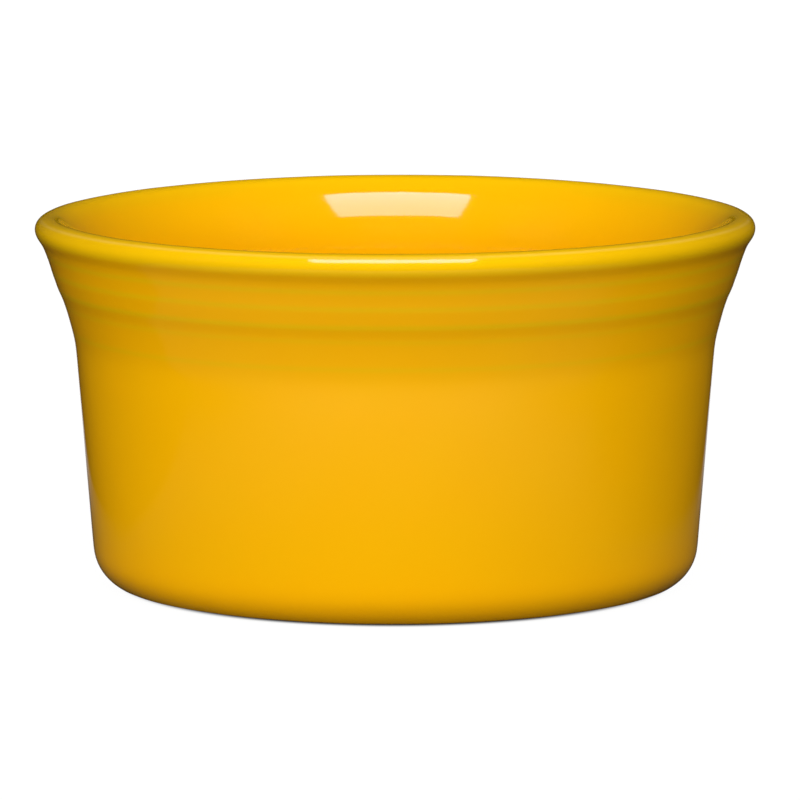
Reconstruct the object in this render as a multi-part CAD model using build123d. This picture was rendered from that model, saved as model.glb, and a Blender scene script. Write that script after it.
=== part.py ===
from build123d import *
from math import cos, radians, sin, tan
import os

# The ramekin stands on its dry foot ring at z = 0 and is round about the Z axis.
# Sizes are fired sizes in millimetres, taken over the glaze wherever there is glaze.

# Whole pot
RIM_DIAMETER = 104.8  # across the widest part of the rolled lip
HEIGHT = 54.0  # from the table to the crest of the lip
GLAZE_THICKNESS = 0.4

# Rolled lip
LIP_RADIUS = 2.3
LIP_WRAP_ANGLE = 47.0  # degrees that its round runs on below the widest point

# Flare under the lip
FLARE_HEIGHT = 15.8
FLARE_REACH = 5.22  # from the shoulder out to the crease under the lip
FLARE_POWER = 1.35  # how late the flare swings out, 1 is a straight cone
SHOULDER_ROUNDING = 15.0

# Straight wall and its corner at the foot
DRAFT_ANGLE = 4.6  # degrees from upright, inside and outside
WALL_THICKNESS = 4.25
BASE_CORNER_RADIUS = 5.8

# Turned rings round the flare
RING_RELIEF = 0.2  # from crease to crest on the boldest ring
RING_CREST_RADIUS = 1.3
RING_CREASE_RADIUS = 0.8
# Each row is one ring, from the shoulder up: its lower crease and its crest as shares of
# the flare's height, and its relief as a share of the boldest ring's.
RING_SHARES = (
    (0.14, 0.20, 0.65),
    (0.31, 0.36, 0.35),
    (0.41, 0.48, 0.50),
    (0.53, 0.59, 1.00),
    (0.70, 0.76, 0.80),
    (0.88, 0.93, 0.50),
)

# Inside of the bowl
FLOOR_THICKNESS = 5.0
INSIDE_CORNER_RADIUS = 9.0
MOUTH_ANGLE = 48.0  # degrees from upright where the inside leaves the lip
MOUTH_ROUNDING = 13.0

# Foot ring and the recess inside it
FOOT_WIDTH = 2.7  # of the flat that stands on the table
FOOT_EDGE_RADIUS = 0.5
RECESS_DEPTH = 1.4
RECESS_CORNER_RADIUS = 0.8
GLAZE_LINE_HEIGHT = 0.6  # the glaze is wiped off below this

# The clay lies one glaze thickness under every glazed face
lip_radius = LIP_RADIUS - GLAZE_THICKNESS
lip_centre = Vector(RIM_DIAMETER / 2 - LIP_RADIUS, HEIGHT - LIP_RADIUS)
neck_height = lip_centre.Y - lip_radius * sin(radians(LIP_WRAP_ANGLE))
neck_radius = lip_centre.X + lip_radius * cos(radians(LIP_WRAP_ANGLE))
shoulder_height = neck_height - FLARE_HEIGHT
shoulder_radius = neck_radius - FLARE_REACH
draft_slope = tan(radians(DRAFT_ANGLE))
base_radius = shoulder_radius - draft_slope * shoulder_height
base_corner_radius = BASE_CORNER_RADIUS - GLAZE_THICKNESS


def flare_point(share, relief):
    """Point of the flare's outline, proud by the relief, a share of the way up to the neck."""
    drafted = draft_slope * FLARE_HEIGHT
    swing = FLARE_REACH - drafted
    radius = shoulder_radius + drafted * share + swing * share**FLARE_POWER
    return (radius + relief, shoulder_height + share * FLARE_HEIGHT)


def inside_corners():
    """Corners of the inside from the lip down to the floor, each with its rounding."""
    mouth = radians(MOUTH_ANGLE)
    # The mouth leaves the round of the lip where their directions agree
    leave_radius = lip_centre.X - lip_radius * cos(mouth)
    leave_height = lip_centre.Y + lip_radius * sin(mouth)
    # The wall inside runs beside the straight wall outside
    wall_radius = base_radius + 2 * GLAZE_THICKNESS - WALL_THICKNESS
    floor_height = RECESS_DEPTH + FLOOR_THICKNESS - GLAZE_THICKNESS
    rise = leave_radius - leave_height * tan(mouth) - wall_radius
    mouth_height = rise / (draft_slope - tan(mouth))
    return [
        ((leave_radius, leave_height), 0),
        ((wall_radius + draft_slope * mouth_height, mouth_height), MOUTH_ROUNDING),
        ((wall_radius + draft_slope * floor_height, floor_height), INSIDE_CORNER_RADIUS),
        ((0, floor_height), 0),
    ]


def underside_corners():
    """Corners of the underside from the axis out to the foot ring, with their rounding."""
    corner_reach = base_corner_radius * tan(radians(90 - DRAFT_ANGLE) / 2)
    foot_radius = base_radius - corner_reach - FOOT_WIDTH - FOOT_EDGE_RADIUS
    ceiling_height = RECESS_DEPTH + GLAZE_THICKNESS
    return [
        ((0, ceiling_height), 0),
        ((foot_radius, ceiling_height), RECESS_CORNER_RADIUS),
        ((foot_radius, 0), FOOT_EDGE_RADIUS),
    ]


def outside_corners():
    """Corners of the outside from the foot up to the lip, each with its rounding."""
    corners = [
        ((base_radius, 0), base_corner_radius),
        (flare_point(0, 0), SHOULDER_ROUNDING),
    ]
    for crease_share, crest_share, relief_share in RING_SHARES:
        half_relief = RING_RELIEF * relief_share / 2
        corners.append((flare_point(crease_share, -half_relief), RING_CREASE_RADIUS))
        corners.append((flare_point(crest_share, half_relief), RING_CREST_RADIUS))
    corners.append((flare_point(1, 0), 0))
    return corners


def clay_section():
    """Half section of the fired clay: one wall, floor and foot, and the round of the lip."""
    corners = inside_corners() + underside_corners() + outside_corners()
    points = [point for point, rounding in corners]
    roundings = [rounding for point, rounding in corners]
    pot = FilletPolyline(*points, radius=roundings[1:-1])
    lip = CenterArc(lip_centre, lip_radius, -LIP_WRAP_ANGLE, 180 + LIP_WRAP_ANGLE - MOUTH_ANGLE)
    return make_face(pot.edges() + lip.edges())


def glaze_sections(clay):
    """Half sections of the two glazed stretches: over the pot, and inside the foot ring."""
    coated = offset(clay, amount=GLAZE_THICKNESS, kind=Kind.ARC)
    width = RIM_DIAMETER / 2
    height = HEIGHT - GLAZE_LINE_HEIGHT
    glazed_zone = Pos(0, GLAZE_LINE_HEIGHT) * Rectangle(width, height, align=Align.MIN)
    faces = ((coated - clay) & glazed_zone).faces()
    underside, coat = faces.sort_by(lambda face: face.bounding_box().max.Y)
    return coat, underside


def turned(section):
    """Solid of revolution of a half section drawn as radius and height."""
    return revolve(Plane.XZ * section, axis=Axis.Z)


def build():
    """The separate pieces by name."""
    clay = clay_section()
    coat, underside = glaze_sections(clay)
    return {
        "ceramic_body": turned(clay),
        "glaze_coat": turned(coat),
        "underside_glaze": turned(underside),
    }


os.makedirs("parts", exist_ok=True)
for name, piece in build().items():
    export_step(piece, f"parts/{name}.step")
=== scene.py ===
"""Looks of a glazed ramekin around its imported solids: glaze, bare foot, studio and camera."""

from math import atan2, ceil, cos, degrees, hypot, pi, radians, sin, tan, tau
from types import SimpleNamespace

import bpy
import numpy as np
from bpy.props import FloatProperty, FloatVectorProperty, IntProperty, PointerProperty
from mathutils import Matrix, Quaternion, Vector


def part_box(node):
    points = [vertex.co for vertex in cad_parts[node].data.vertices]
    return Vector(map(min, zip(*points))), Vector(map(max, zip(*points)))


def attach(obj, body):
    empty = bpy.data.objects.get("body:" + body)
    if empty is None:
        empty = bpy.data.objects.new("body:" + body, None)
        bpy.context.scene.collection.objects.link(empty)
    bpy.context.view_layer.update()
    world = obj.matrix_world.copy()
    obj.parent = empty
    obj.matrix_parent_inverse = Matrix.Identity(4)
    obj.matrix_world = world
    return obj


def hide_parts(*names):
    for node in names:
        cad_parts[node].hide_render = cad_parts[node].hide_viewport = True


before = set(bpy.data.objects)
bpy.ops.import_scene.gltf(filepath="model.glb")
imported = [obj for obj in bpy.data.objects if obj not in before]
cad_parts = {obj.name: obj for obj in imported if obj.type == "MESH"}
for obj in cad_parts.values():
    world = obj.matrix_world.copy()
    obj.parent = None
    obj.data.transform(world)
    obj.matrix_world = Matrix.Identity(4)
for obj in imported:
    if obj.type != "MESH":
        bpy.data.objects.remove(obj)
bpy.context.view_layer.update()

bl_info = {
    "name": "Glazed Ramekin",
    "version": (1, 0, 0),
    "blender": (4, 5, 0),
    "location": "3D View > Sidebar > Ramekin",
    "description": "Dresses the solids of a glazed ramekin and lights it on a pale sweep",
    "category": "Object",
}

MM = 0.001
COAT_LOW, COAT_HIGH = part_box("glaze_coat")
RECESS_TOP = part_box("underside_glaze")[1].z
GLAZE_THICKNESS = 0.4  # millimetres
NO_LENGTH = 1e-9  # metres under which two points are the same

# Each row is one turned ring, from the shoulder up: its lower crease and its crest as shares
# of the flare's height, and its relief as a share of the boldest ring's.
RING_SHARES = (
    (0.14, 0.20, 0.65),
    (0.31, 0.36, 0.35),
    (0.41, 0.48, 0.50),
    (0.53, 0.59, 1.00),
    (0.70, 0.76, 0.80),
    (0.88, 0.93, 0.50),
)

# The throwing left the glaze's face in soft steps. Each row is a share of the flare's height
# and the face's slope there in degrees from upright. The first lies on the straight wall and
# the last at the widest point of the lip.
FACE_SLOPES = (
    (-0.22, 4.0),
    (-0.06, 5.0),
    (0.00, 6.5),
    (0.06, 9.0),
    (0.09, 11.5),
    (0.16, 14.5),
    (0.33, 16.5),
    (0.38, 18.5),
    (0.44, 20.0),
    (0.51, 25.5),
    (0.54, 25.0),
    (0.60, 19.5),
    (0.65, 19.5),
    (0.68, 20.5),
    (0.71, 18.5),
    (0.77, 17.5),
    (0.81, 18.5),
    (0.84, 20.5),
    (0.89, 21.0),
    (0.95, 25.0),
    (0.98, 31.5),
    (1.00, 34.5),
    (1.03, 34.5),
    (1.07, 21.0),
    (1.10, 7.0),
    (1.113, 0.0),
)
FACE_BLEND = 0.15 * MM  # that each change of the face's slope is spread over

# The glaze breaks lighter on the crest of each step. Each row is a share of the flare's height
# and how much thinner the glaze lies there.
GLAZE_BREAKS = (
    (0.177, 0.55),
    (0.430, 0.45),
    (0.566, 0.90),
    (0.735, 0.80),
    (0.893, 0.75),
)
BREAK_WIDTH = 0.42 * MM  # from the middle of each line of thinner glaze to its side

# The glaze lies a little thicker and thinner by place. Each row is a wave round the pot:
# how many there are in a turn, the run of one along the outline, its height, its start
# as a share of that run.
GLAZE_WAVES = (
    (5, 61 * MM, 0.011 * MM, 0.10),
    (11, 37 * MM, 0.008 * MM, 0.63),
    (17, -23 * MM, 0.006 * MM, 0.35),
    (29, 14 * MM, 0.003 * MM, 0.82),
    (43, -9 * MM, 0.002 * MM, 0.27),
)


def linear(hex_colour):
    """Linear red, green and blue of an sRGB hex value."""
    shares = [int(hex_colour[i : i + 2], 16) / 255 for i in (1, 3, 5)]
    return [s / 12.92 if s <= 0.04045 else ((s + 0.055) / 1.055) ** 2.4 for s in shares]


def length(name, description, millimetres):
    """A length that the user may set, with its default in millimetres."""
    return FloatProperty(
        name=name, description=description, default=millimetres * MM, unit="LENGTH", precision=5
    )


def angle(name, description, default):
    """An angle that the user may set, with its default in degrees."""
    return FloatProperty(
        name=name, description=description, default=radians(default), subtype="ANGLE"
    )


def number(name, description, default):
    """A plain number that the user may set."""
    return FloatProperty(name=name, description=description, default=default, min=0)


def colour(name, description, hex_colour):
    """A colour that the user may set, with its default as an sRGB hex value."""
    return FloatVectorProperty(
        name=name, description=description, default=linear(hex_colour), subtype="COLOR", min=0, max=1
    )


class RamekinSizes(bpy.types.PropertyGroup):
    """Fired sizes of the pot, most of them as its solids have them."""

    rim_diameter: length("Rim", "Across the rolled lip", (COAT_HIGH.x - COAT_LOW.x) / MM)
    height: length("Height", "From the table to the crest of the lip", COAT_HIGH.z / MM)
    glaze_thickness: length("Glaze", "Thickness of the glaze", GLAZE_THICKNESS)
    glaze_line: length("Glaze line", "The glaze is wiped off below this", COAT_LOW.z / MM)
    glaze_roll: length("Glaze roll", "How far in from its edge the glaze thins", 0.55)
    lip_radius: length("Lip", "Radius of the rolled lip over its glaze", 2.3)
    lip_wrap: angle("Lip wrap", "How far the lip's round runs on below its widest point", 47)
    flare_height: length("Flare height", "From the shoulder to the crease under the lip", 15.8)
    flare_reach: length("Flare reach", "From the shoulder out to the crease", 5.22)
    flare_power: number("Flare power", "How late the flare swings out", 1.35)
    shoulder_blend: length("Shoulder", "How far the bend of the shoulder is spread", 1.2)
    draft: angle("Draft", "Slope of the straight wall from upright", 4.6)
    wall_thickness: length("Wall", "Thickness of the wall over its glaze", 4.25)
    base_corner: length("Base corner", "Radius of the corner at the foot", 5.8)
    ring_relief: length("Ring relief", "From crease to crest on the boldest ring", 0.2)
    rim_sag: length("Rim sag", "How far the rim's sides lie below its front", 0.2)
    floor_thickness: length("Floor", "Thickness of the floor over its glaze", 5.0)
    inside_corner: length("Inside corner", "Radius where the wall meets the floor", 9.0)
    mouth_angle: angle("Mouth", "Slope from upright where the inside leaves the lip", 48)
    mouth_rounding: length("Mouth rounding", "Radius where the mouth meets the wall", 13.0)
    foot_width: length("Foot", "Width of the flat that stands on the table", 2.7)
    foot_edge: length("Foot edge", "Radius of the foot's inner edge", 0.5)
    recess_depth: length("Recess", "Depth inside the foot", RECESS_TOP / MM - GLAZE_THICKNESS)
    recess_corner: length("Recess corner", "Radius round the recess's ceiling", 0.8)
    steps: IntProperty(name="Steps", description="Faces round the pot", default=216, min=24)


class RamekinColours(bpy.types.PropertyGroup):
    """Colours of the glaze and the clay."""

    deep_glaze: colour("Deep glaze", "Where the glaze lies thick", "#F7AE00")
    thin_glaze: colour("Thin glaze", "Where the glaze breaks over an edge", "#ECB805")
    # Painted reflection: this colour is laid as a pale line along the lip, where the glaze would
    # mirror the room overhead.
    painted_lip_sheen: colour("Pale glaze", "Along the crest of the lip, where it's thinnest", "#F2C23C")
    clay: colour("Clay", "Bare fired clay of the foot", "#E2D3B8")
    clay_speck: colour("Clay specks", "Iron specks in the bare clay", "#9C7A55")
    paper: colour("Paper", "Sweep that the pot stands on", "#444444")


class RamekinStudio(bpy.types.PropertyGroup):
    """Camera and lights. The camera looks along +Y and down."""

    camera_distance: length("Camera distance", "From the aim to the camera", 1000.7)
    camera_elevation: angle("Camera elevation", "Above the horizon", 8.18)
    camera_roll: angle("Camera roll", "How far the picture's right side is raised", 0.11)
    aim_height: length("Aim", "Height on the pot's axis that the camera looks at", 26.4)
    focal_length: number("Focal length", "For a 36 mm sensor, in millimetres", 308.4)
    softbox: number("Softbox", "Brightness of the softbox overhead, as the glaze mirrors it", 17)
    panels: number("Panels", "Share of the soft panels' brightness", 1)
    room_light: number("Room light", "Brightness of the room all round", 0.12)


# The outline of the pot, as points (radius, height)


def unit(vector):
    """The vector at length 1."""
    return vector / hypot(*vector)


def heading(turn):
    """Unit vector that many radians up from the way outward."""
    return np.array((cos(turn), sin(turn)))


def rounded(corners):
    """Points of a line through corners, each (point, rounding), with an arc at each corner."""
    line = [np.array(corners[0][0])]
    for (before, _), (corner, rounding), (after, _) in zip(corners, corners[1:], corners[2:]):
        corner = np.array(corner)
        inward = unit(corner - before)
        outward = unit(after - corner)
        turn = atan2(inward[0] * outward[1] - inward[1] * outward[0], inward @ outward)
        start = corner - inward * rounding * tan(abs(turn) / 2)
        to_centre = np.array((-inward[1], inward[0])) * np.copysign(rounding, turn)
        centre = start + to_centre
        bearing = atan2(-to_centre[1], -to_centre[0])
        # One point for each degree of the arc
        for step in np.linspace(0, 1, ceil(abs(degrees(turn))) + 1):
            line.append(centre + rounding * heading(bearing + turn * step))
    line.append(np.array(corners[-1][0]))
    return np.array(line)


def run_of(line):
    """Length of the line up to each of its points."""
    return np.concatenate(([0], np.cumsum(np.hypot(*np.diff(line, axis=0).T))))


def at_places(line, places):
    """Points, or points with further values beside them, that far along the line."""
    run = run_of(line[:, :2])
    kept = np.concatenate(([True], np.diff(run) > NO_LENGTH))
    return np.stack([np.interp(places, run[kept], column[kept]) for column in line.T], 1)


def evenly(line, spacing):
    """The same line with its points an even spacing apart."""
    reach = run_of(line[:, :2])[-1]
    return at_places(line, np.linspace(0, reach, max(2, round(reach / spacing)) + 1))


def graded(line, spacings):
    """The same line with its points as far apart as each place's spacing says."""
    run = run_of(line[:, :2])
    middles = (spacings[1:] + spacings[:-1]) / 2
    count = np.concatenate(([0], np.cumsum(np.diff(run) / middles)))
    return at_places(line, np.interp(np.linspace(0, count[-1], ceil(count[-1]) + 1), count, run))


BELL_ENDS = 3  # widths of the bell from its middle to where it's cut off


def smoothed(values, reach):
    """Values at even steps, each averaged with its neighbours in a bell that many steps wide."""
    count = ceil(BELL_ENDS * reach)
    bell = np.exp(-0.5 * (np.arange(-count, count + 1) / reach) ** 2)
    values = np.asarray(values, float)
    # Past each end the values go on as they would turned about that end
    start = 2 * values[0] - values[count:0:-1]
    end = 2 * values[-1] - values[-2 : -count - 2 : -1]
    padded = np.concatenate((start, values, end)).reshape(len(values) + 2 * count, -1)
    columns = [np.convolve(column, bell / bell.sum(), "valid") for column in padded.T]
    return np.stack(columns, 1).reshape(values.shape)


def outward(line):
    """Unit vectors square to the line, to its right, which is away from the clay."""
    run = np.gradient(line[:, :2], axis=0)
    run /= np.hypot(*run.T)[:, None]
    return np.stack((run[:, 1], -run[:, 0]), 1)


def eased(share):
    """Share from 0 to 1 that starts and ends gently."""
    share = np.clip(share, 0, 1)
    return share * share * (3 - 2 * share)


FINE = 0.05 * MM  # spacing of the points while an outline is worked on
FLARE_POINTS = 200  # along the flare, before they are spaced evenly


def clay_form(sizes):
    """Main radii and heights of the clay, which lies one glaze thickness under the sizes."""
    form = SimpleNamespace(slope=tan(sizes.draft), lip_radius=sizes.lip_radius)
    form.lip_centre = np.array((sizes.rim_diameter / 2, sizes.height)) - sizes.lip_radius
    form.clay_lip_radius = sizes.lip_radius - sizes.glaze_thickness
    form.neck = form.lip_centre + form.clay_lip_radius * heading(-sizes.lip_wrap)
    form.shoulder = form.neck - (sizes.flare_reach, sizes.flare_height)
    form.base_radius = form.shoulder[0] - form.slope * form.shoulder[1]
    form.base_corner = sizes.base_corner - sizes.glaze_thickness
    corner_reach = form.base_corner * tan((pi / 2 - sizes.draft) / 2)
    form.foot_radius = form.base_radius - corner_reach - sizes.foot_width - sizes.foot_edge
    form.wall_inside = form.base_radius + 2 * sizes.glaze_thickness - sizes.wall_thickness
    form.floor_height = sizes.recess_depth + sizes.floor_thickness - sizes.glaze_thickness
    form.ceiling_height = sizes.recess_depth + sizes.glaze_thickness
    return form


def ring_relief(shares, sizes):
    """How far the turned rings stand proud at shares of the flare's height."""
    places, reliefs = [0], [0]
    for crease_share, crest_share, relief_share in RING_SHARES:
        half_relief = sizes.ring_relief * relief_share / 2
        places += [crease_share, crest_share]
        reliefs += [-half_relief, half_relief]
    places.append(1)
    reliefs.append(0)
    index = np.clip(np.searchsorted(places, shares, "right") - 1, 0, len(places) - 2)
    low, high = np.take(places, index), np.take(places, index + 1)
    start, end = np.take(reliefs, index), np.take(reliefs, index + 1)
    return start + (end - start) * eased((shares - low) / (high - low))


def outside_of_clay(form, sizes):
    """The clay's outside from the middle of the foot up to the crease under the lip."""
    shares = np.linspace(0, 1, FLARE_POINTS)
    drafted = form.slope * sizes.flare_height
    swing = (sizes.flare_reach - drafted) * shares**sizes.flare_power
    radii = form.shoulder[0] + drafted * shares + swing
    flare = np.stack((radii, form.shoulder[1] + sizes.flare_height * shares), 1)
    foot = (form.foot_radius + sizes.foot_width / 2, 0)
    wall = rounded([(foot, 0), ((form.base_radius, 0), form.base_corner), (form.shoulder, 0)])
    line = evenly(np.concatenate((wall[:-1], flare)), FINE)
    line = smoothed(line, sizes.shoulder_blend / FINE / 2)
    shares = (line[:, 1] - form.shoulder[1]) / sizes.flare_height
    relief = np.where((shares > 0) & (shares < 1), ring_relief(shares, sizes), 0)
    return line + outward(line) * relief[:, None]


def inside_of_clay(form, sizes):
    """The clay's inside from where it leaves the round of the lip down to the axis."""
    mouth = sizes.mouth_angle
    leave = form.lip_centre + form.clay_lip_radius * heading(pi - mouth)
    rise = leave[0] - leave[1] * tan(mouth) - form.wall_inside
    mouth_height = rise / (form.slope - tan(mouth))
    corners = [
        (leave, 0),
        ((form.wall_inside + form.slope * mouth_height, mouth_height), sizes.mouth_rounding),
        (
            (form.wall_inside + form.slope * form.floor_height, form.floor_height),
            sizes.inside_corner,
        ),
        ((0, form.floor_height), 0),
    ]
    return evenly(rounded(corners), FINE)


def lip_round(form, radius, start, sizes):
    """Round of the lip from a bearing below its widest point to where the inside leaves it."""
    end = pi - sizes.mouth_angle
    bearings = np.linspace(start, end, ceil((end - start) * radius / FINE))
    return form.lip_centre + radius * np.stack((np.cos(bearings), np.sin(bearings)), 1)


def flare_face(form, sizes):
    """The glaze's face from the straight wall up to the widest point of the lip."""
    shares, slopes = np.array(FACE_SLOPES).T
    count = ceil((shares[-1] - shares[0]) * sizes.flare_height / FINE)
    steps = np.linspace(shares[0], shares[-1], count)
    rise = (steps - steps[0]) * sizes.flare_height
    slopes = smoothed(np.interp(steps, shares, slopes), FACE_BLEND / FINE)
    swing = np.tan(np.radians(slopes)) - form.slope
    swing = np.concatenate(([0], np.cumsum((swing[1:] + swing[:-1]) / 2 * np.diff(rise))))
    heights = form.shoulder[1] + steps * sizes.flare_height
    start = form.base_radius + sizes.glaze_thickness / cos(sizes.draft) + form.slope * heights[0]
    # The swing is scaled so that the face ends on the rim's radius
    reach = sizes.rim_diameter / 2 - start - form.slope * rise[-1]
    return np.stack((start + form.slope * rise + swing * reach / swing[-1], heights), 1)


def lip_face(form, widest, sizes):
    """The glaze's face over the lip, from its widest point to where the inside leaves it."""
    lip = lip_round(form, sizes.lip_radius, 0, sizes)
    # The outer half is drawn down to the height at which the flare's face ends
    outer = lip[:, 0] > form.lip_centre[0]
    share = (lip[outer, 1] - form.lip_centre[1]) / sizes.lip_radius
    lip[outer, 1] = widest + (sizes.height - widest) * share
    return lip


def glaze_depth(line, sizes):
    """Thickness of the glaze along a line of clay that starts at the glaze's edge."""
    share = np.clip(run_of(line) / sizes.glaze_roll, 0, 1)
    return sizes.glaze_thickness * np.sqrt(1 - (1 - share) ** 2)


def coat_outlines(sizes):
    """Two lines from the glaze's edge at the foot to the axis: the glaze's face with how thin
    it lies beside each point, and the clay under it. Also how far along the face the crease
    under the lip is."""
    form = clay_form(sizes)
    outside = outside_of_clay(form, sizes)
    outside = outside[outside[:, 1] >= sizes.glaze_line]
    inside = inside_of_clay(form, sizes)

    wall = outside + outward(outside) * glaze_depth(outside, sizes)[:, None]
    flare = flare_face(form, sizes)
    wall = wall[wall[:, 1] < flare[0, 1] - FINE]
    lip = lip_face(form, flare[-1, 1], sizes)
    mouth = inside + outward(inside) * sizes.glaze_thickness
    face = evenly(np.concatenate((wall, flare, lip[1:], mouth[1:])), FINE)
    run = run_of(face)
    crease = run[np.argmax(face[:, 1] > form.neck[1])]
    face = np.column_stack((face, thinness_and_sheen(face, run, crease, form, sizes)))

    bare_lip = lip_round(form, form.clay_lip_radius, -sizes.lip_wrap, sizes)
    clay = np.concatenate((outside, bare_lip, inside))
    return face, clay, crease


# How thin the glaze lies by place, where 1 is the round of the lip
BASE_THINNESS = -0.15
WALL_THINNESS = 0.14
CREASE_THINNESS = 0.05
INSIDE_THINNESS = 0.42
BASE_CORNERS = 2  # times the base corner's radius up, where it lies as thin as on the wall
CREASE_SHARE = 0.25  # of the flare's height up which it comes to lie as in the creases
BREAK_START = 0.2 * MM  # past the crease, where it starts to thin over the lip
BREAK_RUN = 1.2 * MM  # over which it thins
MOUTH_END = 3 * MM  # past the round of the lip, where it lies as on the inside again
MOUTH_RUN = 4 * MM  # over which it comes to that
# Painted reflection: place and width of a pale line along the lip, where the glaze would mirror the
# room overhead.
SHEEN_TURN = 53  # degrees up the round of the lip from its widest point to its palest line
SHEEN_WIDTH = 0.22 * MM  # from the middle of that line to its side
THINNESS_BLEND = 0.1 * MM  # that each change of thinness is spread over


def thinness_and_sheen(face, run, crease, form, sizes):
    """How thin the glaze lies along its face: 0 where it's deep and 1 on the round of the lip,
    plus up to 1 more for a painted reflection, a pale line along the lip for the room overhead."""
    base = eased(face[:, 1] / (BASE_CORNERS * sizes.base_corner))
    share = (face[:, 1] - form.shoulder[1]) / sizes.flare_height
    on_wall = BASE_THINNESS + (WALL_THINNESS - BASE_THINNESS) * base
    on_wall -= (WALL_THINNESS - CREASE_THINNESS) * eased(share / CREASE_SHARE)
    for place, gain in GLAZE_BREAKS:
        away = (share - place) * sizes.flare_height / BREAK_WIDTH
        on_wall += gain * np.exp(-(away**2))
    lip_end = crease + form.lip_radius * (pi - sizes.mouth_angle + sizes.lip_wrap)
    over_lip = eased((run - crease - BREAK_START) / BREAK_RUN)
    over_lip *= eased((lip_end + MOUTH_END - run) / MOUTH_RUN)
    thin = np.where(run < crease + form.lip_radius, on_wall, INSIDE_THINNESS)
    # Painted reflection: a pale line at a fixed slope up the lip, where the glaze would mirror the
    # room overhead.
    crest = run[np.argmax(face[:, 1])]
    sheen_line = crest - form.lip_radius * radians(90 - SHEEN_TURN)
    sheen = np.exp(-(((run - sheen_line) / SHEEN_WIDTH) ** 2))
    return smoothed(thin + (1 - thin) * over_lip + sheen, THINNESS_BLEND / FINE)


def underside_outlines(sizes):
    """Two lines from the axis to the glaze's edge inside the foot: its face and the clay."""
    form = clay_form(sizes)
    corners = [
        ((0, form.ceiling_height), 0),
        ((form.foot_radius, form.ceiling_height), sizes.recess_corner),
        ((form.foot_radius, 0), 0),
    ]
    clay = evenly(rounded(corners), FINE)
    clay = clay[clay[:, 1] >= sizes.glaze_line]
    depth = glaze_depth(clay[::-1], sizes)[::-1]
    face = clay + outward(clay) * depth[:, None]
    return np.column_stack((face, np.full(len(face), BASE_THINNESS))), clay


# Meshes


def turned_mesh(name, path, steps, waves=None, values=None):
    """Mesh of a path turned about the axis, its faces looking to the right of the path. A path
    that starts or ends on the axis is closed there. The points whose waves are 1 follow the
    glaze's waves and the rim's sag, and those whose waves are 0 don't."""
    on_axis = [path[0][0] < NO_LENGTH, path[-1][0] < NO_LENGTH]
    first, last = int(on_axis[0]), len(path) - int(on_axis[1])
    turns = np.arange(steps) * tau / steps
    radii = np.repeat(path[first:last, 0:1], steps, 1)
    heights = np.repeat(path[first:last, 1:2], steps, 1)
    if waves is not None:
        glazed = waves[first:last, None]
        raised = glazed * glaze_wave(run_of(path)[first:last, None], turns)
        away = outward(path)[first:last]
        radii = radii + raised * away[:, 0:1]
        # The sag is full at the crest of the lip and gone at the foot
        sag = bpy.context.scene.ramekin_sizes.rim_sag * rim_fall(turns)
        sag = sag * glazed * (heights / COAT_HIGH.z) ** 2
        heights = heights + raised * away[:, 1:2] - sag
    rings = np.stack((radii * np.cos(turns), radii * np.sin(turns), heights), 2).reshape(-1, 3)
    ends = [(0, 0, path[end][1]) for end in (0, -1) if on_axis[end]]
    rows = last - first
    at = np.arange(rows * steps).reshape(rows, steps)
    after = np.roll(at, -1, 1)
    faces = np.stack((at[:-1], after[:-1], after[1:], at[1:]), 2).reshape(-1, 4).tolist()
    pole = rows * steps
    if on_axis[0]:
        faces += [(pole, b, a) for a, b in zip(at[0].tolist(), after[0].tolist())]
        pole += 1
    if on_axis[1]:
        faces += [(pole, a, b) for a, b in zip(at[-1].tolist(), after[-1].tolist())]
    mesh = bpy.data.meshes.new(name)
    mesh.from_pydata(np.concatenate((rings, np.array(ends).reshape(-1, 3))).tolist(), [], faces)
    mesh.shade_smooth()
    if values is not None:
        layer = mesh.attributes.new("glaze_thinness_and_sheen", "FLOAT", "POINT")
        kept = np.repeat(values[first:last], steps)
        poles = [values[end] for end in (0, -1) if on_axis[end]]
        layer.data.foreach_set("value", np.concatenate((kept, poles)).astype(np.float32))
    return mesh


def glaze_wave(run, turns):
    """How far the waves raise the glaze at places along the outline and bearings round the pot.
    It's never above 0, so the face stays inside the size of the pot."""
    raised = 0
    for count, wave_run, height, start in GLAZE_WAVES:
        raised = raised + height * (np.sin(count * turns + tau * (run / wave_run + start)) - 1)
    return raised


FALL_START = 0.5  # share of the way from the sides to the front, where the rim starts to fall
FALL_EASE = 0.02  # how softly it starts to


def rim_fall(turns):
    """How far the rim lies below its front at bearings round it, where 1 is at its sides."""
    behind = FALL_START + np.sin(turns)
    return np.cos(turns) ** 2 * (behind + np.sqrt(behind**2 + FALL_EASE))


def shown(name, mesh, material):
    """A new object with that mesh and material, in the scene."""
    made = bpy.data.objects.new(name, mesh)
    mesh.materials.append(material)
    bpy.context.scene.collection.objects.link(made)
    return made


def glaze_piece(name, face, clay, face_first, node):
    """Closed shell of glaze between its face and the clay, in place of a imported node."""
    sizes = bpy.context.scene.ramekin_sizes
    inner = np.column_stack((clay, np.zeros(len(clay))))
    parts = [face, inner[::-1]] if face_first else [inner[::-1], face]
    waves = [np.full(len(part), float(part is face)) for part in parts]
    path = np.concatenate(parts)
    mesh = turned_mesh(name, path[:, :2], sizes.steps, np.concatenate(waves), path[:, 2])
    piece = shown(name, mesh, glaze_material())
    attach(piece, "root")
    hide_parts(node)


# Materials


def add_node(tree, kind, settings=None, values=None, links=None):
    """Adds a node with its settings, its sockets' values and the links into it."""
    made = tree.nodes.new(kind)
    for name, value in (settings or {}).items():
        setattr(made, name, value)
    for socket, value in (values or {}).items():
        made.inputs[socket].default_value = value
    for socket, source in (links or {}).items():
        tree.links.new(source, made.inputs[socket])
    return made


def new_material(name):
    """A new material under that name, and its empty tree of nodes."""
    material = bpy.data.materials.new(name)
    material.use_nodes = True
    material.node_tree.nodes.clear()
    return material, material.node_tree


def per_size(millimetres):
    """Scale of a noise whose grains are about that size."""
    return 1 / (millimetres * MM)


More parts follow.
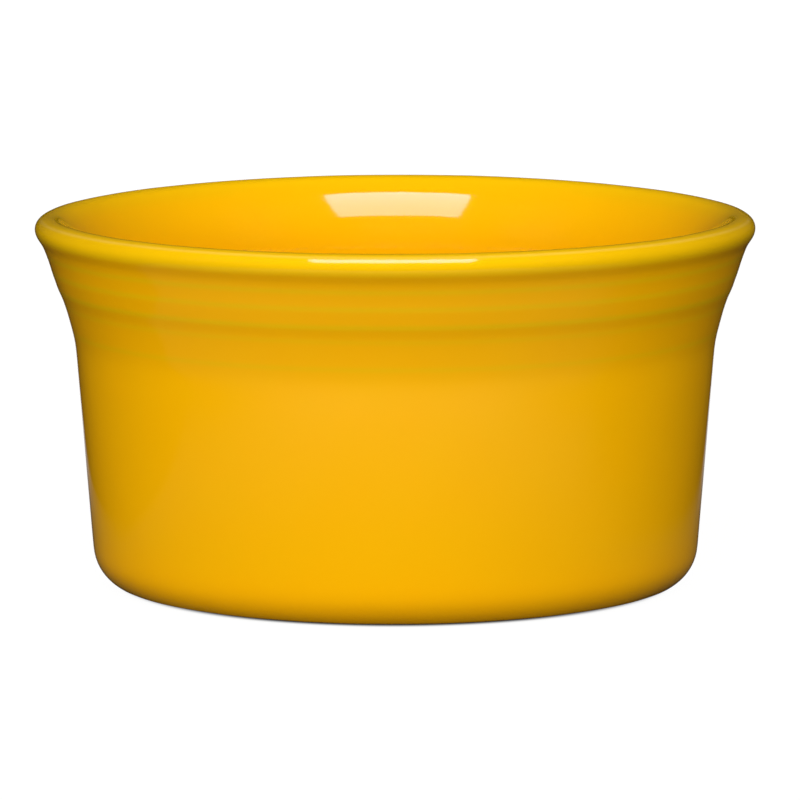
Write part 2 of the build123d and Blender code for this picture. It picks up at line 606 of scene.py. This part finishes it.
NOISE_LOW, NOISE_HIGH = 0.3, 0.7  # levels that nearly all of a noise lies between
CLOUD_SIZE = 6  # millimetres across the clouds of a little thicker and thinner glaze
CLOUD_DEPTH = 0.05  # how much thinner or thicker it lies in them
# Painted reflection: values over 1 are the pale line along the lip, which fades in between these.
SHEEN_START, SHEEN_FULL = 1.05, 2.0  # thinness at which the glaze starts to pale and is palest


def glaze_material():
    """Gloss earthenware glaze, dipped and fired: a clear, deep yellow that pools orange in the
    creases, breaks lighter over the lip and the rings, mirrors the lamps sharply and has a painted
    reflection along the lip."""
    if "gloss_earthenware_glaze" in bpy.data.materials:
        return bpy.data.materials["gloss_earthenware_glaze"]
    colours = bpy.context.scene.ramekin_colours
    material, tree = new_material("gloss_earthenware_glaze")
    place = add_node(tree, "ShaderNodeTexCoord").outputs["Object"]
    thin = add_node(tree, "ShaderNodeAttribute", {"attribute_name": "glaze_thinness_and_sheen"})
    cloud = add_node(
        tree,
        "ShaderNodeTexNoise",
        values={"Scale": per_size(CLOUD_SIZE), "Detail": 3.0, "Roughness": 0.55},
        links={"Vector": place},
    )
    drift = add_node(
        tree,
        "ShaderNodeMapRange",
        values={
            "From Min": NOISE_LOW,
            "From Max": NOISE_HIGH,
            "To Min": -CLOUD_DEPTH,
            "To Max": CLOUD_DEPTH,
        },
        links={"Value": cloud.outputs["Fac"]},
    )
    depth = add_node(
        tree,
        "ShaderNodeMath",
        {"operation": "ADD"},
        links={0: thin.outputs["Fac"], 1: drift.outputs["Result"]},
    )
    share = add_node(
        tree,
        "ShaderNodeMapRange",
        values={"From Min": BASE_THINNESS, "From Max": 1.0},
        links={"Value": depth.outputs["Value"]},
    )
    tint = add_node(
        tree,
        "ShaderNodeMix",
        {"data_type": "RGBA"},
        {"A": (*colours.deep_glaze, 1), "B": (*colours.thin_glaze, 1)},
        {"Factor": share.outputs["Result"]},
    )
    # Painted reflection: the pale line along the lip, mixed over the glaze's own colour.
    sheen_line = add_node(
        tree,
        "ShaderNodeMapRange",
        values={"From Min": SHEEN_START, "From Max": SHEEN_FULL},
        links={"Value": depth.outputs["Value"]},
    )
    sheen = add_node(
        tree,
        "ShaderNodeMix",
        {"data_type": "RGBA"},
        {"B": (*colours.painted_lip_sheen, 1)},
        {"Factor": sheen_line.outputs["Result"], "A": tint.outputs["Result"]},
    )
    shader = add_node(
        tree,
        "ShaderNodeBsdfPrincipled",
        values={"Roughness": 0.06, "IOR": 1.35},
        links={"Base Color": sheen.outputs["Result"]},
    )
    add_node(tree, "ShaderNodeOutputMaterial", links={"Surface": shader.outputs["BSDF"]})
    return material


GRAIN_SIZE = 0.35  # millimetres across the sandy grain of the clay
GRAIN_DEPTH = 0.08 * MM
SPECK_SIZE = 0.9  # millimetres across the noise that the specks are cut from
SPECK_EDGE, SPECK_MIDDLE = 0.64, 0.72  # levels of that noise where a speck starts and is full
SPECK_SHARE = 0.7  # of the specks' colour in a full speck


def clay_material():
    """Bare bisque-fired clay where the glaze was wiped off the foot: pale buff and dry, with a
    sandy grain that breaks up the light and a few iron specks."""
    colours = bpy.context.scene.ramekin_colours
    material, tree = new_material("bare_fired_clay")
    place = add_node(tree, "ShaderNodeTexCoord").outputs["Object"]
    grain = add_node(
        tree,
        "ShaderNodeTexNoise",
        values={"Scale": per_size(GRAIN_SIZE), "Detail": 4.0, "Roughness": 0.6},
        links={"Vector": place},
    )
    specks = add_node(
        tree,
        "ShaderNodeTexNoise",
        values={"Scale": per_size(SPECK_SIZE), "Detail": 2.0},
        links={"Vector": place},
    )
    speckled = add_node(
        tree,
        "ShaderNodeMapRange",
        values={"From Min": SPECK_EDGE, "From Max": SPECK_MIDDLE, "To Max": SPECK_SHARE},
        links={"Value": specks.outputs["Fac"]},
    )
    tint = add_node(
        tree,
        "ShaderNodeMix",
        {"data_type": "RGBA"},
        {"A": (*colours.clay, 1), "B": (*colours.clay_speck, 1)},
        {"Factor": speckled.outputs["Result"]},
    )
    bump = add_node(
        tree,
        "ShaderNodeBump",
        values={"Strength": 0.6, "Distance": GRAIN_DEPTH},
        links={"Height": grain.outputs["Fac"]},
    )
    shader = add_node(
        tree,
        "ShaderNodeBsdfPrincipled",
        values={"Roughness": 0.9, "IOR": 1.5},
        links={"Base Color": tint.outputs["Result"], "Normal": bump.outputs["Normal"]},
    )
    add_node(tree, "ShaderNodeOutputMaterial", links={"Surface": shader.outputs["BSDF"]})
    return material


FIBRE_SIZE = 3  # millimetres across the clouds of fibre in the paper
FIBRE_SHADE = 0.97  # of the paper's colour, where the fibre lies thick
# Painted shadow: the paper's glow is cut near the pot. It starts and is full at these distances
# from the pot's axis, first as the camera sees it and then as mirrors do.
PAINTED_SHADOW_SEEN = (38.6 * MM, 41.2 * MM)
PAINTED_SHADE_MIRRORED = (58 * MM, 270 * MM)
# Near the pot the glow is a little under white, and further off it rises to white
PAPER_GLOW = 0.97
GLOW_NEAR = 120 * MM
GLOW_FAR = 700 * MM


def paper_material():
    """Seamless studio paper: a matt sheet. The camera, mirrors and glass see it go out to plain
    white, with a painted shadow cut into that glow near the foot and, for mirrors, further out."""
    colours = bpy.context.scene.ramekin_colours
    material, tree = new_material("studio_paper")
    place = add_node(tree, "ShaderNodeTexCoord").outputs["Object"]
    fibre = add_node(
        tree,
        "ShaderNodeTexNoise",
        values={"Scale": per_size(FIBRE_SIZE), "Detail": 4.0},
        links={"Vector": place},
    )
    tint = add_node(
        tree,
        "ShaderNodeMix",
        {"data_type": "RGBA"},
        {"A": (*colours.paper, 1), "B": (*[FIBRE_SHADE * c for c in colours.paper], 1)},
        {"Factor": fibre.outputs["Fac"]},
    )
    matt = add_node(tree, "ShaderNodeBsdfDiffuse", links={"Color": tint.outputs["Result"]})
    away = add_node(
        tree, "ShaderNodeVectorMath", {"operation": "LENGTH"}, links={"Vector": place}
    )
    glow = add_node(
        tree,
        "ShaderNodeMapRange",
        values={"From Min": GLOW_NEAR, "From Max": GLOW_FAR, "To Min": PAPER_GLOW, "To Max": 1.0},
        links={"Value": away.outputs["Value"]},
    )
    rays = add_node(tree, "ShaderNodeLightPath").outputs
    shown_by = []
    # Painted shadow: each ramp cuts the glow to nothing near the pot.
    for (low, high), kinds in (
        (PAINTED_SHADOW_SEEN, ("Is Camera Ray", "Is Transmission Ray")),
        (PAINTED_SHADE_MIRRORED, ("Is Glossy Ray",)),
    ):
        clear = add_node(
            tree,
            "ShaderNodeMapRange",
            {"interpolation_type": "SMOOTHSTEP"},
            {"From Min": low, "From Max": high},
            {"Value": away.outputs["Value"]},
        )
        for kind in kinds:
            seen = add_node(
                tree,
                "ShaderNodeMath",
                {"operation": "MULTIPLY"},
                links={0: clear.outputs["Result"], 1: rays[kind]},
            )
            shown_by.append(seen.outputs["Value"])
    either = add_node(
        tree, "ShaderNodeMath", {"operation": "MAXIMUM"}, links={0: shown_by[0], 1: shown_by[1]}
    )
    any_seen = add_node(
        tree,
        "ShaderNodeMath",
        {"operation": "MAXIMUM"},
        links={0: either.outputs["Value"], 1: shown_by[2]},
    )
    strength = add_node(
        tree,
        "ShaderNodeMath",
        {"operation": "MULTIPLY"},
        links={0: any_seen.outputs["Value"], 1: glow.outputs["Result"]},
    )
    lit = add_node(tree, "ShaderNodeEmission", links={"Strength": strength.outputs["Value"]})
    both = add_node(
        tree,
        "ShaderNodeAddShader",
        links={0: matt.outputs["BSDF"], 1: lit.outputs["Emission"]},
    )
    add_node(tree, "ShaderNodeOutputMaterial", links={"Surface": both.outputs["Shader"]})
    return material


CARD_BLACK = 0.01  # share of the light that the card gives back


def card_material():
    """Matt black card, whose cut edge is scraped thin so that it fades out."""
    material, tree = new_material("black_card")
    cover = add_node(tree, "ShaderNodeAttribute", {"attribute_name": "cover"})
    fade = add_node(
        tree,
        "ShaderNodeMapRange",
        {"interpolation_type": "SMOOTHSTEP"},
        links={"Value": cover.outputs["Fac"]},
    )
    clear = add_node(tree, "ShaderNodeBsdfTransparent")
    black = (CARD_BLACK, CARD_BLACK, CARD_BLACK, 1)
    matt = add_node(tree, "ShaderNodeBsdfDiffuse", values={"Color": black})
    faded = add_node(
        tree,
        "ShaderNodeMixShader",
        links={0: fade.outputs["Result"], 1: clear.outputs["BSDF"], 2: matt.outputs["BSDF"]},
    )
    add_node(tree, "ShaderNodeOutputMaterial", links={"Surface": faded.outputs["Shader"]})
    return material


# Studio

# The paper and the black card, in metres
SWEEP_RADIUS = 3.6
SWEEP_RISE = 0.1  # radius of the bend at its edge
SWEEP_TOP = 0.2
SWEEP_STEPS = 96
CARD_LIFT = 1 * MM
CARD_REACH = 3.3
CARD_RISE = 0.25
# Corners of the card's opening, which is about as wide as the picture. Each row is a place,
# how far beyond it the card fades in, and the card's outer corner there, as shares of its
# reach.
CARD_CORNERS = (
    ((-0.049, -0.166), (-0.100, -0.060), (-1, -1)),
    ((0.050, -0.166), (0.100, -0.060), (1, -1)),
    ((0.056, -0.065), (0.100, 0.0), (1, -0.1)),
    ((0.060, 0.0), (0.020, 0.0), (1, 0.1)),
    ((0.067, 0.12), (0.008, 0.0), (1, 0.3)),
    ((0.126, 1.1), (0.020, 0.020), (1, 1)),
    ((-0.123, 1.1), (-0.020, 0.020), (-1, 1)),
    ((-0.066, 0.12), (-0.008, 0.0), (-1, 0.3)),
    ((-0.059, 0.0), (-0.020, 0.0), (-1, 0.1)),
    ((-0.055, -0.065), (-0.100, 0.0), (-1, -0.1)),
)


def make_sweep():
    """Pale paper that lies flat round the pot and sweeps up far from it."""
    flat = SWEEP_RADIUS + SWEEP_RISE
    path = rounded([((flat, SWEEP_TOP), 0), ((flat, 0), SWEEP_RISE), ((0, 0), 0)])
    mesh = turned_mesh("paper_sweep", path, SWEEP_STEPS)
    shown("paper_sweep", mesh, paper_material())


def make_card():
    """Black card over the paper, with an opening round the pot and raised at its outer edge,
    which only mirrors see."""
    inner, middle, outer = [], [], []
    for (x, y), (fade_x, fade_y), (aside, ahead) in CARD_CORNERS:
        inner.append((x, y, CARD_LIFT))
        middle.append((x + fade_x, y + fade_y, CARD_LIFT))
        outer.append((aside * CARD_REACH, ahead * CARD_REACH, CARD_RISE))
    count = len(CARD_CORNERS)
    faces = [
        (ring + i, ring + count + i, ring + count + (i + 1) % count, ring + (i + 1) % count)
        for ring in (0, count)
        for i in range(count)
    ]
    mesh = bpy.data.meshes.new("black_card")
    mesh.from_pydata(inner + middle + outer, [], faces)
    cover = mesh.attributes.new("cover", "FLOAT", "POINT")
    cover.data.foreach_set("value", [0] * count + [1] * 2 * count)
    card = shown("black_card", mesh, card_material())
    card.visible_camera = card.visible_diffuse = card.visible_shadow = False
    card.visible_transmission = False


# Soft panels round the pot, all equally far from it, which the glaze doesn't mirror. Each row
# is a bearing from the camera's and an elevation, in degrees, then width and depth in metres
# and brightness.
PANEL_DISTANCE = 1.3
PANELS = {
    "front_low": (-8, 7.5, 0.9, 0.3, 10.6),
    "front_panel": (-8, 35, 0.9, 0.6, 2.6),
    "front_top": (-8, 55, 0.9, 0.6, 1.3),
    "left_low": (-60, 27, 0.6, 0.5, 4.1),
    "left_top": (-70, 50, 0.6, 0.6, 1.5),
    "right_low": (60, 27, 0.6, 0.5, 4.6),
    "right_top": (70, 50, 0.6, 0.6, 2.2),
    "back_low": (172, 8, 0.9, 0.3, 15.0),
}


def make_lamp(name, width, depth, place, aim, brightness):
    """A soft rectangular lamp whose face is that bright, where white paper in full light is 1."""
    data = bpy.data.lights.new(name, "AREA")
    data.shape = "RECTANGLE"
    data.size, data.size_y = width, depth
    data.energy = brightness * pi * width * depth
    lamp = bpy.data.objects.new(name, data)
    lamp.location = place
    lamp.rotation_euler = (Vector(aim) - Vector(place)).to_track_quat("-Z", "Y").to_euler()
    lamp.visible_camera = False
    bpy.context.scene.collection.objects.link(lamp)
    return lamp


def make_panels(aim_height, share):
    """The soft panels, all turned to the pot."""
    for name, (bearing, elevation, width, depth, brightness) in PANELS.items():
        bearing, elevation = radians(bearing), radians(elevation)
        level = cos(elevation)
        way = Vector((sin(bearing) * level, -cos(bearing) * level, sin(elevation)))
        place = PANEL_DISTANCE * way
        panel = make_lamp(name, width, depth, place, (0, 0, aim_height), share * brightness)
        panel.visible_glossy = False


# The softbox overhead, which lights no matt surface and shows only in the glaze's mirror.
# Its place and size are in metres.
SOFTBOX_PLACE = Vector((-0.008, -0.172, 0.532))
SOFTBOX_FACING = Vector((0, 0.749, -0.663))
SOFTBOX_WIDTH = 0.326
SOFTBOX_DEPTH = 0.356
SOFTBOX_FRONT_SHARE = 0.68  # of its brightness, at its edge by the camera
SOFTBOX_COLOUR = (0.8, 0.66, 1.0)  # cool, so that it shows white over the yellow of the glaze


def make_softbox(brightness):
    """Softbox over the front of the pot, tipped to it and dimmer towards the camera."""
    aim = SOFTBOX_PLACE + SOFTBOX_FACING
    lamp = make_lamp("softbox", SOFTBOX_WIDTH, SOFTBOX_DEPTH, SOFTBOX_PLACE, aim, brightness)
    lamp.data.color = SOFTBOX_COLOUR
    lamp.visible_diffuse = False
    lamp.data.use_nodes = True
    tree = lamp.data.node_tree
    tree.nodes.clear()
    across = add_node(
        tree,
        "ShaderNodeSeparateXYZ",
        links={"Vector": add_node(tree, "ShaderNodeNewGeometry").outputs["Parametric"]},
    )
    level = add_node(
        tree,
        "ShaderNodeMapRange",
        values={"To Min": SOFTBOX_FRONT_SHARE},
        links={"Value": across.outputs["Y"]},
    )
    glow = add_node(tree, "ShaderNodeEmission", links={"Strength": level.outputs["Result"]})
    add_node(tree, "ShaderNodeOutputLight", links={"Surface": glow.outputs["Emission"]})


MIRRORED_ROOM = 0.15  # share of the room's light that the glaze mirrors


def make_world(strength):
    """Even, dim light of the room all round, dimmer still in the glaze's mirror."""
    world = bpy.data.worlds.new("room")
    world.use_nodes = True
    tree = world.node_tree
    tree.nodes.clear()
    seen = add_node(
        tree,
        "ShaderNodeMapRange",
        values={"To Min": strength, "To Max": MIRRORED_ROOM * strength},
        links={"Value": add_node(tree, "ShaderNodeLightPath").outputs["Is Glossy Ray"]},
    )
    room = add_node(
        tree,
        "ShaderNodeBackground",
        values={"Color": (1, 1, 1, 1)},
        links={"Strength": seen.outputs["Result"]},
    )
    add_node(tree, "ShaderNodeOutputWorld", links={"Surface": room.outputs["Background"]})
    bpy.context.scene.world = world


PICTURE_WIDTH = 800  # pixels
AXIS_OFF_CENTRE = 4.6 / PICTURE_WIDTH  # how far left of the picture's middle the pot's axis is
AIM_OFF_CENTRE = 0.1 / PICTURE_WIDTH  # and how far below it the aim is
SENSOR_WIDTH = 36  # millimetres
CLIP_NEAR, CLIP_FAR = 0.05, 20  # metres


def make_camera(studio):
    """Long lens in front of the pot, a little above it."""
    data = bpy.data.cameras.new("camera")
    data.lens = studio.focal_length
    data.sensor_width = SENSOR_WIDTH
    data.shift_x = AXIS_OFF_CENTRE
    data.shift_y = AIM_OFF_CENTRE
    data.clip_start = CLIP_NEAR
    data.clip_end = CLIP_FAR
    camera = bpy.data.objects.new("camera", data)
    back = Vector((0, -cos(studio.camera_elevation), sin(studio.camera_elevation)))
    camera.location = Vector((0, 0, studio.aim_height)) + back * studio.camera_distance
    level = back.to_track_quat("Z", "Y")
    camera.rotation_euler = (level @ Quaternion((0, 0, 1), -studio.camera_roll)).to_euler()
    bpy.context.scene.collection.objects.link(camera)
    bpy.context.scene.camera = camera


# Operators and panel

# Spacing of the rings of the coat's mesh, and how much closer they lie on the flare and lip
COAT_SPACING = 1.0 * MM
COAT_CLOSER = 0.84 * MM
COAT_CLAY_SPACING = 1.2 * MM
CLOSER_FROM = 1.15  # flare's heights back from the crease under the lip
CLOSER_TO = 4.5  # lip's radii on from that crease
CLOSER_FADE = 3 * MM
EDGE_FADE = 9 * MM  # from the coat's edge at the foot, where they lie closer too
EDGE_SHARE = 0.8  # of how much closer they lie on the flare
# The same for the glaze inside the foot ring, whose rings lie closer towards its edge
UNDERSIDE_SPACING = 1.5 * MM
UNDERSIDE_CLOSER = 1.4 * MM
UNDERSIDE_FADE = 6 * MM
UNDERSIDE_CLAY_SPACING = 1.0 * MM


class RAMEKIN_OT_glaze_coat(bpy.types.Operator):
    """Turn the glaze that covers the pot from the foot over the lip to the floor inside"""

    bl_idname = "ramekin.glaze_coat"
    bl_label = "Glaze Coat"

    def execute(self, context):
        sizes = context.scene.ramekin_sizes
        face, clay, crease = coat_outlines(sizes)
        run = run_of(face[:, :2])
        shoulder = crease - CLOSER_FROM * sizes.flare_height
        lip_end = crease + CLOSER_TO * sizes.lip_radius
        detailed = eased((run - shoulder) / CLOSER_FADE) * eased((lip_end - run) / CLOSER_FADE)
        by_edge = eased(1 - run / EDGE_FADE)
        spacings = COAT_SPACING - COAT_CLOSER * np.maximum(detailed, by_edge * EDGE_SHARE)
        face = graded(face, spacings)
        clay = graded(clay, np.full(len(clay), COAT_CLAY_SPACING))
        glaze_piece("yellow_glaze_coat", face, clay, False, "glaze_coat")
        return {"FINISHED"}


class RAMEKIN_OT_underside_glaze(bpy.types.Operator):
    """Turn the glaze inside the foot ring"""

    bl_idname = "ramekin.underside_glaze"
    bl_label = "Underside Glaze"

    def execute(self, context):
        face, clay = underside_outlines(context.scene.ramekin_sizes)
        run = run_of(face[:, :2])
        by_edge = eased(1 - (run[-1] - run) / UNDERSIDE_FADE)
        face = graded(face, UNDERSIDE_SPACING - UNDERSIDE_CLOSER * by_edge)
        clay = graded(clay, np.full(len(clay), UNDERSIDE_CLAY_SPACING))
        glaze_piece("yellow_glaze_underside", face, clay, True, "underside_glaze")
        return {"FINISHED"}


class RAMEKIN_OT_fired_clay(bpy.types.Operator):
    """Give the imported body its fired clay, which shows at the foot"""

    bl_idname = "ramekin.fired_clay"
    bl_label = "Fired Clay"

    def execute(self, context):
        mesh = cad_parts["ceramic_body"].data
        mesh.materials.clear()
        mesh.materials.append(clay_material())
        return {"FINISHED"}


class RAMEKIN_OT_studio(bpy.types.Operator):
    """Set up the paper, the lamps and the camera"""

    bl_idname = "ramekin.studio"
    bl_label = "Studio"

    def execute(self, context):
        studio = context.scene.ramekin_studio
        make_sweep()
        make_card()
        make_softbox(studio.softbox)
        make_panels(studio.aim_height, studio.panels)
        make_world(studio.room_light)
        make_camera(studio)
        context.scene.view_settings.view_transform = "Standard"
        return {"FINISHED"}


PIECES = (
    RAMEKIN_OT_glaze_coat,
    RAMEKIN_OT_underside_glaze,
    RAMEKIN_OT_fired_clay,
    RAMEKIN_OT_studio,
)
GROUPS = {
    "ramekin_sizes": RamekinSizes,
    "ramekin_colours": RamekinColours,
    "ramekin_studio": RamekinStudio,
}


class RAMEKIN_PT_panel(bpy.types.Panel):
    """Sizes, colours and pieces of the ramekin"""

    bl_idname = "RAMEKIN_PT_panel"
    bl_label = "Ramekin"
    bl_space_type = "VIEW_3D"
    bl_region_type = "UI"
    bl_category = "Ramekin"

    def draw(self, context):
        for group_name, group in GROUPS.items():
            box = self.layout.box()
            for name in group.__annotations__:
                box.prop(getattr(context.scene, group_name), name)
        for operator in PIECES:
            self.layout.operator(operator.bl_idname)


def register():
    """Registers the groups, the operators and the panel."""
    for kind in (*GROUPS.values(), *PIECES, RAMEKIN_PT_panel):
        bpy.utils.register_class(kind)
    for name, group in GROUPS.items():
        setattr(bpy.types.Scene, name, PointerProperty(type=group))


def unregister():
    """Takes them away again."""
    for name in GROUPS:
        delattr(bpy.types.Scene, name)
    for kind in (RAMEKIN_PT_panel, *reversed(PIECES), *reversed(GROUPS.values())):
        bpy.utils.unregister_class(kind)


def main():
    """Builds every piece and the studio."""
    register()
    bpy.ops.ramekin.glaze_coat()
    bpy.ops.ramekin.underside_glaze()
    bpy.ops.ramekin.fired_clay()
    bpy.ops.ramekin.studio()


if __name__ == "__main__":
    main()
